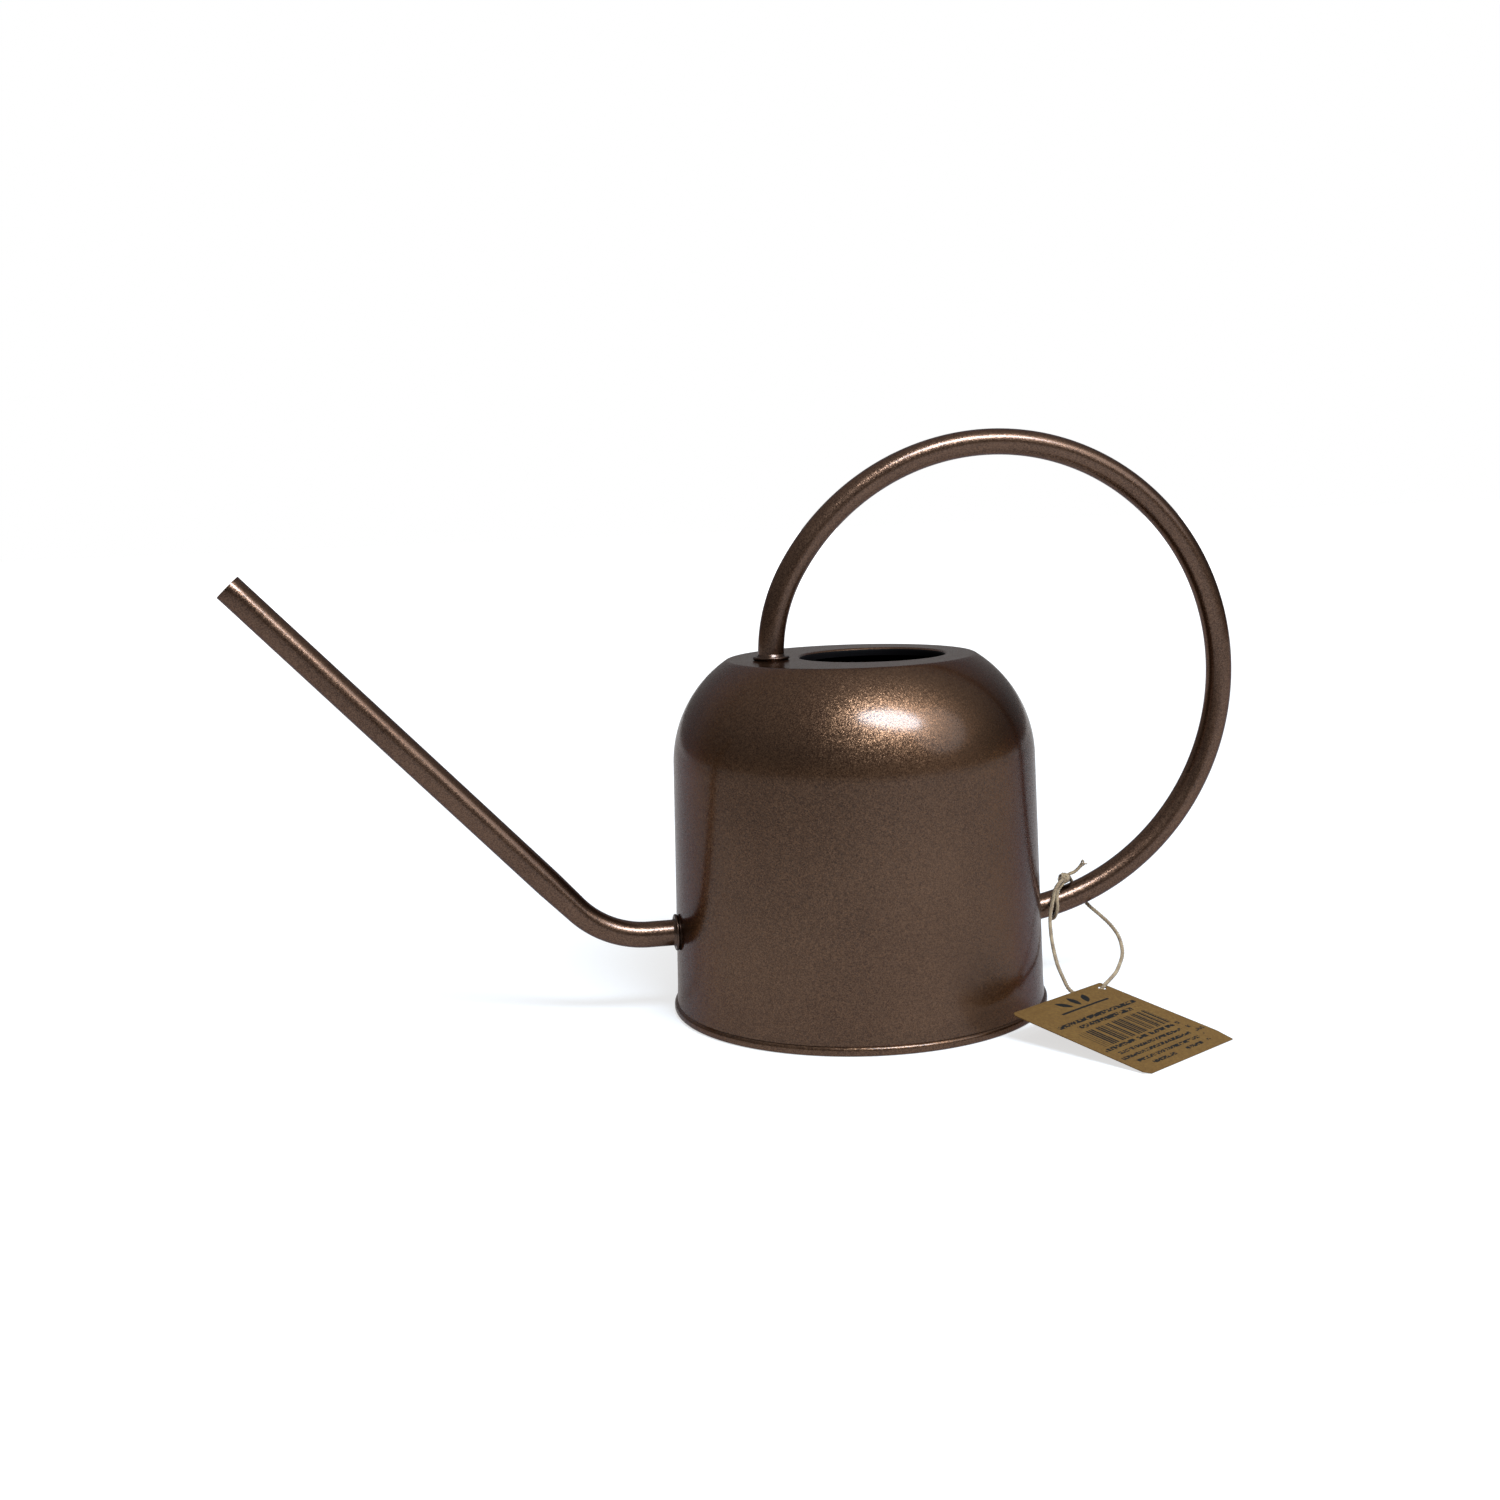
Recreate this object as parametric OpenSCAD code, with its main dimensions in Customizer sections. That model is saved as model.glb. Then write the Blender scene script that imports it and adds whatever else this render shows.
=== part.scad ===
// Small indoor watering can: a spun steel body with a domed shoulder, a long bent
// spout and a round tubular handle, with a card swing tag on a loop of twine.
// Frame: origin on the body's axis at the level it stands on, +Z up, +X towards the
// handle, -X towards the spout. Millimetres.

/* [Body] */
// Radius of the wall at the bottom
base_r = 67; // [60:0.5:75]
// Radius of the wall where the shoulder begins
top_r = 65; // [58:0.5:73]
// Height of the flat deck above the floor
deck_h = 127.5; // [110:0.5:140]
// Radius of the round shoulder in section
shoulder_r = 44.5; // [38:0.5:50]
// Radius of the flat deck
deck_r = 44.5; // [40:0.5:50]
// Thickness of the sheet steel
sheet = 0.6; // [0.4:0.1:0.8]

/* [Mouth] */
// Distance from the body's axis to the mouth's axis, towards the handle
mouth_x = 8; // [4:0.5:10]
// Inside radius of the curled mouth
mouth_r = 26; // [20:0.5:28]
// Radius of the curl along the mouth
curl_r = 1.3; // [1:0.1:2]

/* [Base] */
// How far the rolled seam stands out from the wall
seam_out = 1.2; // [0.8:0.1:2]
// Height of the rolled seam
seam_h = 5; // [4:0.5:7]
// Height of the base disc above the floor
base_lift = 3; // [2:0.5:5]

/* [Tubes] */
// Outside diameter of the handle tube, and of the spout up to its straight run
tube_d = 9.3; // [8:0.1:10]
// Outside diameter of the spout's straight run
spout_d = 10.1; // [10:0.1:12]
// Wall thickness of the tubes
tube_wall = 0.65; // [0.5:0.05:1]

/* [Spout] */
// Height of the spout's centre line where it leaves the wall
spout_z = 31; // [26:0.5:40]
// Length of the level stretch outside the wall
spout_level = 10.6; // [6:0.2:16]
// Radius of the bend
spout_bend_r = 35; // [25:0.5:45]
// Angle of the spout above level
spout_angle = 47; // [40:0.5:60]
// Length of the straight stretch beyond the bend
spout_straight = 163.6; // [120:0.2:190]
// Length of the taper where the straight run begins
spout_taper = 14; // [6:1:30]

/* [Handle] */
// Radius of the handle's centre line
ring_r = 86.5; // [80:0.5:90]
// Distance from the body's axis to the handle ring's centre
ring_x = 54; // [50:0.5:58]
// Height of the handle ring's centre
ring_z = 115; // [110:0.5:118]
// Place on the ring, counted from +X towards +Z, where the tighter front bend begins
front_bend_at = 150; // [140:1:160]
// Radius of the front bend, which brings the tube upright onto the deck
front_bend_r = 60; // [50:1:70]

/* [Ferrules] */
// Radius of a ferrule's flange
ferrule_r = 6.6; // [6:0.1:8]
// Height of a ferrule, with its neck
ferrule_h = 2.2; // [2:0.1:4]

/* [Tag] */
// Width of the card tag
tag_w = 50; // [40:1:60]
// Length of the card tag
tag_h = 56; // [50:1:60]
// Thickness of the card
tag_t = 0.4; // [0.3:0.1:0.6]
// Radius of the punched hole
tag_hole_r = 2; // [1.8:0.1:2.5]

/* [Twine] */
// Diameter of the twine
twine_d = 1.3; // [1:0.1:1.4]

/* [Hidden] */

$fn = 96;
copper = [0.36, 0.26, 0.21];
copper_dark = [0.27, 0.19, 0.15];
braze = [0.62, 0.53, 0.34];
kraft = [0.66, 0.50, 0.28];
jute = [0.72, 0.62, 0.42];

tube_r = tube_d/2;
spout_r = spout_d/2;
bore_r = tube_r - tube_wall;
full_wall = 0.02;            // bending thins the wall by this much on each face
stub = 2.5;                  // length of a tube's end inside the sheet
fit = 0.05;                  // gap between pieces that are assembled together
braze_r = tube_r + 1.6;      // radius of a braze fillet's foot
braze_h = 1.4;

// The wall is a slight cone up to the shoulder, which turns through shoulder_turn
shoulder_turn = acos(1 - (top_r - deck_r)/shoulder_r);
wall_top = deck_h - shoulder_r*sin(shoulder_turn);
function wall_r(z) = base_r + (top_r - base_r)*z/wall_top;
seat = 1.0;                  // height of the shell's bottom edge in the seam
seam_r = base_r + seam_out;
wire_r = 0.9;                // rounding of the seam's outer corners

// Handle: its rear end's angle round the ring, and the centre of its front bend
rear_z = ring_z - sqrt(ring_r*ring_r - pow(wall_r(30) - ring_x, 2));
rear_angle = -acos((wall_r(rear_z) - ring_x)/ring_r);
stub_angle = stub/ring_r*180/PI;
front_bend_x = ring_x + (ring_r - front_bend_r)*cos(front_bend_at);
front_bend_z = ring_z + (ring_r - front_bend_r)*sin(front_bend_at);
front_x = front_bend_x - front_bend_r;

// Tag: its hole's centre at rest, its turn about +Z and its slope down from the hole
tag_hole = [78, -41.5, 9];
tag_turn = 33;
tag_slope = 9.5;
tag_inset = 3.6;             // from the hole's centre to the card's two near edges

// Twine: from the front of the knot over the handle tube, down behind the card's top
// edge, up through its hole, and back round behind the tube to the knot
knot_at = [79, -0.5, 40];
knot_r = 2.3;
tail_to = [87, -1, 46];
twine_route = [
  [78, -2.5, 40], [75.5, -4.5, 39], [73.5, -5.5, 36.5], [72.5, -6, 32.5],
  [71, -8, 28.5], [69.5, -12, 25], [68, -18, 21.5], [66.5, -25, 18],
  [65.5, -32, 15], [65, -38.5, 12.5], [65.5, -43, 10], [68.5, -44, 8],
  [73, -43, 7], [76.5, -42, 8], [78, -41.5, 9], [79.5, -40.5, 10],
  [83, -36.5, 10.5], [88, -30, 11.5], [93, -22, 13.5], [96, -15, 15.5],
  [97, -9, 18.5], [95.5, -4.5, 22], [92.5, -1, 25.5], [89.5, 2.5, 28.5],
  [87.5, 5.5, 32], [85, 6, 36], [82.5, 4, 39.5], [80.5, 1.5, 40.5]];
twine_sides = 8;
twine_steps = 2;             // rings for each point of the route

// ---- outlines and curves -------------------------------------------------------

// Points on an arc about c, from angle a to angle b
function arc(c, r, a, b, n) =
  [for (i = [0:n]) c + r*[cos(a + (b - a)*i/n), sin(a + (b - a)*i/n)]];

// Catmull-Rom point at t between b and c
function spline(a, b, c, d, t) =
  0.5*(2*b + (c - a)*t + (2*a - 5*b + 4*c - d)*t*t + (3*b - a - 3*c + d)*t*t*t);
function unit(v) = v/norm(v);
function smooth_path(p, steps) =
  let (n = len(p) - 1)
  [for (i = [0:n - 1], k = [0:steps - 1])
     spline(p[max(i - 1, 0)], p[i], p[i + 1], p[min(i + 2, n)], k/steps), p[n]];
function tangent(p, i) = unit(p[min(i + 1, len(p) - 1)] - p[max(i - 1, 0)]);
// Side vector carried along the path so that the tube doesn't twist
function carried(p, i, v) =
  let (t = tangent(p, i), w = v - (v*t)*t)
  i == len(p) - 1 ? [unit(w)] : concat([unit(w)], carried(p, i + 1, unit(w)));

// Closed tube of radius r along the path p
module swept_tube(p, r, sides) {
  n = len(p);
  side = carried(p, 0, [0, 0, 1]);
  rings = [for (i = [0:n - 1], k = [0:sides - 1])
    let (u = side[i], v = cross(tangent(p, i), u), a = 360*k/sides)
    p[i] + r*(cos(a)*u + sin(a)*v)];
  skin = [for (i = [0:n - 2], k = [0:sides - 1])
    let (a = i*sides + k, b = i*sides + (k + 1) % sides)
    [a, a + sides, b + sides, b]];
  first = [for (k = [0:sides - 1]) k];
  last = [for (k = [sides - 1:-1:0]) (n - 1)*sides + k];
  polyhedron(rings, concat([first], skin, [last]), convexity = 10);
}

// ---- spun body -------------------------------------------------------------------

module body_shell() {
  inset = shoulder_r - sheet;
  turn = shoulder_turn;
  centre = [top_r - shoulder_r, wall_top];
  outline = concat(
    [[wall_r(seat), seat]],
    arc(centre, shoulder_r, 0, turn, 20),
    [[0, deck_h], [0, deck_h - sheet]],
    [[centre[0] + inset*cos(turn), deck_h - sheet]],
    arc(centre, inset, turn - 1.5, 0, 20),
    [[wall_r(seat) - sheet, seat]]);
  color(copper) {
    difference() {
      rotate_extrude() polygon(outline);
      translate([mouth_x, 0, deck_h - 5]) cylinder(h = 10, r = mouth_r + curl_r);
      spout_bore();
      front_bore();
      rear_bore();
    }
    mouth_curl();
  }
}

// Edge of the mouth, turned down into the can
module mouth_curl() {
  hinge = [mouth_r + curl_r, deck_h - curl_r];
  lip = concat(arc(hinge, curl_r, 90, 180, 8), [[mouth_r, deck_h - 3]],
    [[mouth_r + sheet, deck_h - 3]], arc(hinge, curl_r - sheet, 180, 90, 8));
  translate([mouth_x, 0, 0]) rotate_extrude() polygon(lip);
}

// Disc seamed round the shell's bottom edge, with a level standing ring
module base_pan() {
  inner = base_r - 2*sheet - fit;
  gap_in = wall_r(seat) - sheet - fit;
  gap_out = base_r + fit;
  outline = concat(
    [[0, base_lift], [inner - sheet - 2, base_lift]],
    [[inner - 1, 0], [seam_r - wire_r, 0]],
    arc([seam_r - wire_r, wire_r], wire_r, -90, 0, 6),
    arc([seam_r - wire_r, seam_h - wire_r], wire_r, 0, 90, 6),
    [[gap_out, seam_h], [gap_out, seat - 0.2], [gap_in, seat - 0.2]],
    [[gap_in, base_lift + sheet + 1], [gap_in - sheet, base_lift + sheet]],
    [[0, base_lift + sheet]]);
  color(copper_dark) rotate_extrude() polygon(outline);
}

// ---- tubes -----------------------------------------------------------------------

// Section of a tube, with its wall fuller by extra on both faces
module ring_outline(extra = 0) {
  difference() {
    circle(tube_r + extra);
    circle(bore_r - extra);
  }
}

// Straight tube from the origin along +X
module straight_tube(l) {
  rotate([0, 90, 0]) linear_extrude(l) ring_outline(full_wall);
}

// The spout's straight run along +X: a taper up to its full width, then a plain tube
module spout_run(l) {
  rotate([0, 90, 0]) rotate_extrude() polygon([
    [bore_r - full_wall, 0], [tube_r + full_wall, 0],
    [spout_r, spout_taper], [spout_r, l],
    [spout_r - tube_wall, l], [spout_r - tube_wall, spout_taper]]);
}

// Both straight stretches are set out from the bend's centre, and run lap into the bend
module spout_tube() {
  lap = 0.3;
  color(copper_dark)
    translate([-wall_r(spout_z) - spout_level, 0, spout_z + spout_bend_r]) {
      translate([-lap, 0, -spout_bend_r]) straight_tube(spout_level + stub + lap);
      bend(0, 0, spout_bend_r, -90 - spout_angle, -90);
      rotate([0, spout_angle, 0]) translate([lap, 0, -spout_bend_r])
        rotate([0, 180, 0]) spout_run(spout_straight + lap);
    }
}

// Bend about a level axis through (x, z), from angle a to angle b
module bend(x, z, r, a, b, extra = 0) {
  translate([x, 0, z]) rotate([90, 0, 0]) rotate([0, 0, a])
    rotate_extrude(angle = b - a) translate([r, 0]) ring_outline(extra);
}

module handle_tube() {
  lap_angle = 0.3;
  deck_angle = 180 + asin((front_bend_z - deck_h + stub)/front_bend_r);
  color(copper_dark) {
    bend(ring_x, ring_z, ring_r, rear_angle - stub_angle, front_bend_at);
    bend(front_bend_x, front_bend_z, front_bend_r, front_bend_at - lap_angle,
      deck_angle, full_wall);
  }
}

// ---- ferrules and braze ----------------------------------------------------------

// Turned collar on the plane z = 0: a flange with a round edge and a short neck
module ferrule() {
  flange_h = 1.4;
  edge = 0.6;
  rotate_extrude() polygon(concat(
    [[0, -1.2], [ferrule_r, -1.2]],
    arc([ferrule_r - edge, flange_h - edge], edge, 0, 90, 5),
    [[tube_r + 0.6, flange_h], [tube_r + 0.25, flange_h + 0.3], [tube_r + 0.15, ferrule_h]],
    [[0, ferrule_h]]));
}

module on_spout_joint() {
  translate([-wall_r(spout_z), 0, spout_z]) rotate([0, -90, 0]) children();
}

module on_front_joint() {
  translate([front_x, 0, deck_h]) children();
}

module on_rear_joint() {
  translate([wall_r(rear_z), 0, rear_z]) rotate([0, 90, 0]) children();
}

// The wall's cone, and the same cone inside the sheet
module wall_solid(shrink) {
  cylinder(h = wall_top, r1 = base_r - shrink, r2 = top_r - shrink, $fn = 360);
}

module spout_bore() {
  on_spout_joint() cylinder(h = 20, r = tube_r + fit, center = true);
}

module front_bore() {
  on_front_joint() cylinder(h = 20, r = tube_r + full_wall + fit, center = true);
}

module rear_bore() {
  translate([wall_r(rear_z), 0, rear_z]) rotate([0, -rear_angle, 0])
    cylinder(h = 20, r = tube_r + fit, center = true);
}

module spout_ferrule() {
  color(copper_dark) difference() {
    on_spout_joint() ferrule();
    wall_solid(0);
    spout_bore();
  }
}

module handle_front_ferrule() {
  color(copper_dark) difference() {
    on_front_joint() ferrule();
    translate([front_x, 0, deck_h - 5]) cylinder(h = 5, r = 2*ferrule_r);
    front_bore();
  }
}

module handle_rear_ferrule() {
  color(copper_dark) difference() {
    on_rear_joint() ferrule();
    wall_solid(0);
    rear_bore();
  }
}

// Cone of filler metal inside the sheet, standing down into the can from z = 0
module fillet_cone() {
  translate([0, 0, -braze_h]) cylinder(h = braze_h + 2, r1 = tube_r + 0.3, r2 = braze_r + 1);
}

module spout_braze() {
  color(braze) difference() {
    intersection() {
      on_spout_joint() translate([0, 0, -sheet]) fillet_cone();
      wall_solid(sheet);
    }
    spout_bore();
  }
}

module handle_rear_braze() {
  color(braze) difference() {
    intersection() {
      on_rear_joint() translate([0, 0, -sheet]) fillet_cone();
      wall_solid(sheet);
    }
    rear_bore();
  }
}

module handle_front_braze() {
  color(braze) difference() {
    on_front_joint() translate([0, 0, -sheet - braze_h])
      cylinder(h = braze_h, r1 = tube_r + 0.5, r2 = braze_r);
    front_bore();
  }
}

// ---- swing tag and twine ---------------------------------------------------------

module hang_tag() {
  color(kraft) translate(tag_hole) rotate([0, 0, tag_turn]) rotate([tag_slope, 0, 0])
    difference() {
      translate([tag_inset - tag_w, tag_inset - tag_h, -tag_t/2])
        cube([tag_w, tag_h, tag_t]);
      cylinder(h = 4*tag_t, r = tag_hole_r, center = true);
    }
}

module twine_loop() {
  color(jute) swept_tube(smooth_path(twine_route, twine_steps), twine_d/2, twine_sides);
}

module twine_knot() {
  along = tail_to - knot_at;
  color(jute) translate(knot_at) {
    sphere(knot_r, $fn = 12);
    rotate([0, acos(along[2]/norm(along)), atan2(along[1], along[0])])
      cylinder(h = norm(along), r = twine_d/2, $fn = twine_sides);
  }
}

body_shell();
base_pan();
spout_tube();
spout_ferrule();
spout_braze();
handle_tube();
handle_front_ferrule();
handle_rear_ferrule();
handle_front_braze();
handle_rear_braze();
hang_tag();
twine_loop();
twine_knot();
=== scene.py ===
import math
import random

import bmesh
import bpy
from mathutils import Matrix, Quaternion, Vector


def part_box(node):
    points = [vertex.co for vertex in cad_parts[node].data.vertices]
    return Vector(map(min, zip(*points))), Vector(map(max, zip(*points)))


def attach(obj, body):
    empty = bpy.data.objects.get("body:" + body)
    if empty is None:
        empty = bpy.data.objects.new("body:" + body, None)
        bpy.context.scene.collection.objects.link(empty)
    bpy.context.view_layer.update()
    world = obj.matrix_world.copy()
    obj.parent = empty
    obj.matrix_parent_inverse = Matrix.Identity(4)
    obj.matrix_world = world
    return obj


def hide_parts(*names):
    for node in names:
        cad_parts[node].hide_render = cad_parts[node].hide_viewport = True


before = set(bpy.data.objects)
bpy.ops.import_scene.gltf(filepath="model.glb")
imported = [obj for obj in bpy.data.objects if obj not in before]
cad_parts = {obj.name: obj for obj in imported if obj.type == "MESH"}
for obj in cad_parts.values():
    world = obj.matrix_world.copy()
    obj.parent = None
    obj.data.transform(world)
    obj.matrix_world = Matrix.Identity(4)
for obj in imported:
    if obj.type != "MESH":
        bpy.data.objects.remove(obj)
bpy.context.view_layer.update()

MM = 0.001

# Driving dimensions in millimetres, as the CAD has them but for PUNCH_R
BASE_R = 67.0
TOP_R = 65.0
SHOULDER_R = 44.5
DECK_R = 44.5
SHEET = 0.6
MOUTH_X = 8.0
MOUTH_R = 26.0
CURL_R = 1.3
SEAT_Z = 1.0
SPOUT_Z = 31.0
SPOUT_LEVEL = 10.6
SPOUT_BEND_R = 35.0
SPOUT_ANGLE = math.radians(47)
SPOUT_STRAIGHT = 163.6
SPOUT_R = 5.05
SPOUT_TAPER = 14.0
RING_R = 86.5
RING_X = 54.0
RING_Z = 115.0
FRONT_BEND_AT = math.radians(150)
FRONT_BEND_R = 60.0
TUBE_WALL = 0.65
STUB = 2.5
FIT = 0.05                                         # gap between assembled pieces
FERRULE_R = 6.6
FERRULE_H = 2.2
TWINE_R = 0.65
KNOT_AT = Vector((79, -0.5, 40))
TAIL_TO = Vector((87, -1, 46))
TAG_HOLE = Vector((78, -41.5, 9))
TAG_W = 50.0
TAG_H = 56.0
TAG_T = 0.4
PUNCH_R = 1.55                                     # the CAD's hole has a radius of 2
TAG_INSET = 3.6
TAG_TURN = math.radians(33)
TAG_SLOPE = math.radians(9.5)

# What the frame gives
DECK_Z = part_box("body_shell")[1].z / MM
TUBE_R = (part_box("handle_tube")[1].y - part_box("handle_tube")[0].y) / 2 / MM
SEAM_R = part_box("base_pan")[1].x / MM

SHOULDER_TURN = math.acos(1 - (TOP_R - DECK_R) / SHOULDER_R)
WALL_TOP = DECK_Z - SHOULDER_R * math.sin(SHOULDER_TURN)


def wall_r(z):
    """Radius of the wall's outside at height z."""
    return BASE_R + (TOP_R - BASE_R) * z / WALL_TOP


# ---- camera ------------------------------------------------------------------------

CAMERA_AZIMUTH = math.radians(-13.18)
CAMERA_DISTANCE = 0.6591
CAMERA_HEIGHT = 0.1915
CAMERA_PAN = math.radians(-3.236)
CAMERA_TILT = math.radians(8.378)
CAMERA_ROLL = math.radians(-2.092)
CAMERA_LENS = 44.19


def make_camera():
    """A camera at the given place, level first, then panned, tilted down and rolled."""
    data = bpy.data.cameras.new("camera")
    cam = bpy.data.objects.new("camera", data)
    bpy.context.scene.collection.objects.link(cam)
    bpy.context.scene.camera = cam
    data.sensor_width = 36.0
    data.lens = CAMERA_LENS
    data.clip_start = 0.01
    data.clip_end = 50.0
    turn = Matrix.Rotation(CAMERA_AZIMUTH - CAMERA_PAN, 3, "Z")
    nod = Matrix.Rotation(math.pi / 2 - CAMERA_TILT, 3, "X")
    roll = Matrix.Rotation(CAMERA_ROLL, 3, "Z")
    place = Vector((math.sin(CAMERA_AZIMUTH), -math.cos(CAMERA_AZIMUTH), 0)) * CAMERA_DISTANCE
    place.z = CAMERA_HEIGHT
    cam.matrix_world = Matrix.Translation(place) @ (turn @ nod @ roll).to_4x4()


make_camera()

# ---- mesh tools ----------------------------------------------------------------------


def link(obj):
    bpy.context.scene.collection.objects.link(obj)
    return obj


def mesh_object(name, points, faces, sharp=math.radians(32)):
    """A smooth mesh object from points in millimetres, with edges over the sharp angle kept."""
    mesh = bpy.data.meshes.new(name)
    mesh.from_pydata([Vector(p) * MM for p in points], [], faces)
    mesh.validate()
    mesh.polygons.foreach_set("use_smooth", [True] * len(mesh.polygons))
    mesh.set_sharp_from_angle(angle=sharp)
    return link(bpy.data.objects.new(name, mesh))


def skin(rings, closed=False, caps=False):
    """Points and quads over rings of equal count; closed joins the last ring to the first."""
    n = len(rings[0])
    points = [p for ring in rings for p in ring]
    faces = []
    last = len(rings) if closed else len(rings) - 1
    for i in range(last):
        a = i * n
        b = (i + 1) % len(rings) * n
        for k in range(n):
            m = (k + 1) % n
            faces.append((a + k, a + m, b + m, b + k))
    if caps:
        faces.append(tuple(range(n - 1, -1, -1)))
        faces.append(tuple(range((len(rings) - 1) * n, len(rings) * n)))
    return points, faces


def circle(centre, u, v, r, n):
    return [centre + r * (math.cos(2 * math.pi * k / n) * u + math.sin(2 * math.pi * k / n) * v)
            for k in range(n)]


def arc(cx, cz, r, start, end, n):
    """Points (x, z) on an arc, with both ends."""
    out = []
    for i in range(n + 1):
        a = start + (end - start) * i / n
        out.append((cx + r * math.cos(a), cz + r * math.sin(a)))
    return out


def lathe(outline, n):
    """Points and faces of a closed outline of (r, z) points turned about the Z axis."""
    x = Vector((1, 0, 0))
    y = Vector((0, 1, 0))
    return skin([circle(Vector((0, 0, z)), x, y, r, n) for r, z in outline], closed=True)


def joined(parts):
    """One list of points and one of faces out of several (points, faces) pairs."""
    points = []
    faces = []
    for part_points, part_faces in parts:
        start = len(points)
        points += part_points
        faces += [tuple(start + k for k in face) for face in part_faces]
    return points, faces


def stretch(a, b, n):
    """n points from a towards b, with a and without b."""
    return [(a[0] + (b[0] - a[0]) * i / n, a[1] + (b[1] - a[1]) * i / n) for i in range(n)]


def normals_out(obj):
    """Turns the faces of a closed mesh outwards."""
    bm = bmesh.new()
    bm.from_mesh(obj.data)
    bmesh.ops.recalc_face_normals(bm, faces=bm.faces)
    bm.to_mesh(obj.data)
    bm.free()
    return obj


def cut(obj, cutters):
    """Cuts the cutters out of obj for good, and removes them."""
    for cutter in cutters:
        mod = obj.modifiers.new("cut", "BOOLEAN")
        mod.operation = "DIFFERENCE"
        mod.solver = "EXACT"
        mod.object = cutter
    dg = bpy.context.evaluated_depsgraph_get()
    mesh = bpy.data.meshes.new_from_object(obj.evaluated_get(dg))
    obj.modifiers.clear()
    obj.data = mesh
    for cutter in cutters:
        bpy.data.objects.remove(cutter)
    mesh.polygons.foreach_set("use_smooth", [True] * len(mesh.polygons))
    mesh.set_sharp_from_angle(angle=math.radians(32))


# ---- node tools ----------------------------------------------------------------------


class Nodes:
    """Short calls for building one material's node tree."""

    def __init__(self, name):
        self.material = bpy.data.materials.new(name)
        self.material.use_nodes = True
        self.tree = self.material.node_tree
        self.shader = self.tree.nodes["Principled BSDF"]
        self.coords = self.tree.nodes.new("ShaderNodeTexCoord").outputs["Object"]

    def new(self, kind, **settings):
        node = self.tree.nodes.new(kind)
        for key, value in settings.items():
            setattr(node, key, value)
        return node

    def put(self, socket, value):
        """Sets a socket to a number, a colour or another node's output."""
        if isinstance(value, bpy.types.NodeSocket):
            self.tree.links.new(value, socket)
        else:
            socket.default_value = value

    def math(self, operation, a, b=0.0, c=None):
        node = self.new("ShaderNodeMath", operation=operation)
        self.put(node.inputs[0], a)
        self.put(node.inputs[1], b)
        if c is not None:
            self.put(node.inputs[2], c)
        return node.outputs[0]

    def noise(self, scale, detail=3.0, roughness=0.5):
        node = self.new("ShaderNodeTexNoise")
        self.put(node.inputs["Vector"], self.coords)
        self.put(node.inputs["Scale"], scale)
        self.put(node.inputs["Detail"], detail)
        self.put(node.inputs["Roughness"], roughness)
        return node.outputs["Fac"]

    def vector(self, operation, a, b=(0, 0, 0)):
        node = self.new("ShaderNodeVectorMath", operation=operation)
        self.put(node.inputs[0], a)
        self.put(node.inputs[1], b)
        return node.outputs["Vector"]

    def cells(self, scale):
        """Random colour of small cells."""
        node = self.new("ShaderNodeTexVoronoi", feature="F1")
        self.put(node.inputs["Vector"], self.coords)
        self.put(node.inputs["Scale"], scale)
        return node.outputs["Color"]

    def between(self, value, low, high, to_low=0.0, to_high=1.0):
        node = self.new("ShaderNodeMapRange")
        self.put(node.inputs["Value"], value)
        limits = {"From Min": low, "From Max": high, "To Min": to_low, "To Max": to_high}
        for name, x in limits.items():
            self.put(node.inputs[name], x)
        return node.outputs["Result"]

    def mix(self, factor, a, b):
        node = self.new("ShaderNodeMix", data_type="RGBA")
        self.put(node.inputs[0], factor)
        self.put(node.inputs[6], a)
        self.put(node.inputs[7], b)
        return node.outputs[2]

    def bump(self, height, strength, distance, normal=None):
        node = self.new("ShaderNodeBump")
        self.put(node.inputs["Height"], height)
        self.put(node.inputs["Strength"], strength)
        self.put(node.inputs["Distance"], distance)
        if normal is not None:
            self.put(node.inputs["Normal"], normal)
        return node.outputs["Normal"]

    def set(self, **values):
        for key, value in values.items():
            self.put(self.shader.inputs[key.replace("_", " ")], value)
        return self.material


def rgb(r, g, b):
    return (r, g, b, 1.0)


# ---- materials -----------------------------------------------------------------------


def lacquer(name, dark, light, flake_tilt=0.24, roughness=0.34, peel=0.25):
    """Metallic lacquer: a flake layer of small tilted mirrors under a clear coat."""
    n = Nodes(name)
    flakes = n.cells(3400.0)
    tilt = n.vector("SCALE", n.vector("SUBTRACT", flakes, (0.5, 0.5, 0.5)))
    n.put(tilt.node.inputs["Scale"], flake_tilt)
    normal = n.new("ShaderNodeNewGeometry").outputs["Normal"]
    tilted = n.vector("NORMALIZE", n.vector("ADD", normal, tilt))
    grey = n.new("ShaderNodeSeparateColor")
    n.put(grey.inputs[0], flakes)
    shade = n.between(grey.outputs[0], 0.0, 1.0, 0.0, 0.8)
    cloud = n.between(n.noise(26.0, 3.0), 0.3, 0.7, 0.0, 0.2)
    colour = n.mix(n.math("ADD", shade, cloud), dark, light)
    rough = n.between(n.noise(60.0, 4.0), 0.3, 0.7, roughness - 0.03, roughness + 0.03)
    wavy = n.bump(n.noise(420.0, 2.0), peel, 0.00004)
    wavy = n.bump(n.noise(2600.0, 2.0), peel, 0.000012, wavy)
    return n.set(Base_Color=colour, Metallic=1.0, Roughness=rough, Normal=tilted,
                 Specular_Tint=rgb(0.30, 0.24, 0.20), Coat_Weight=0.33,
                 Coat_Roughness=0.17, Coat_IOR=1.5, Coat_Normal=wavy)


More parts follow.
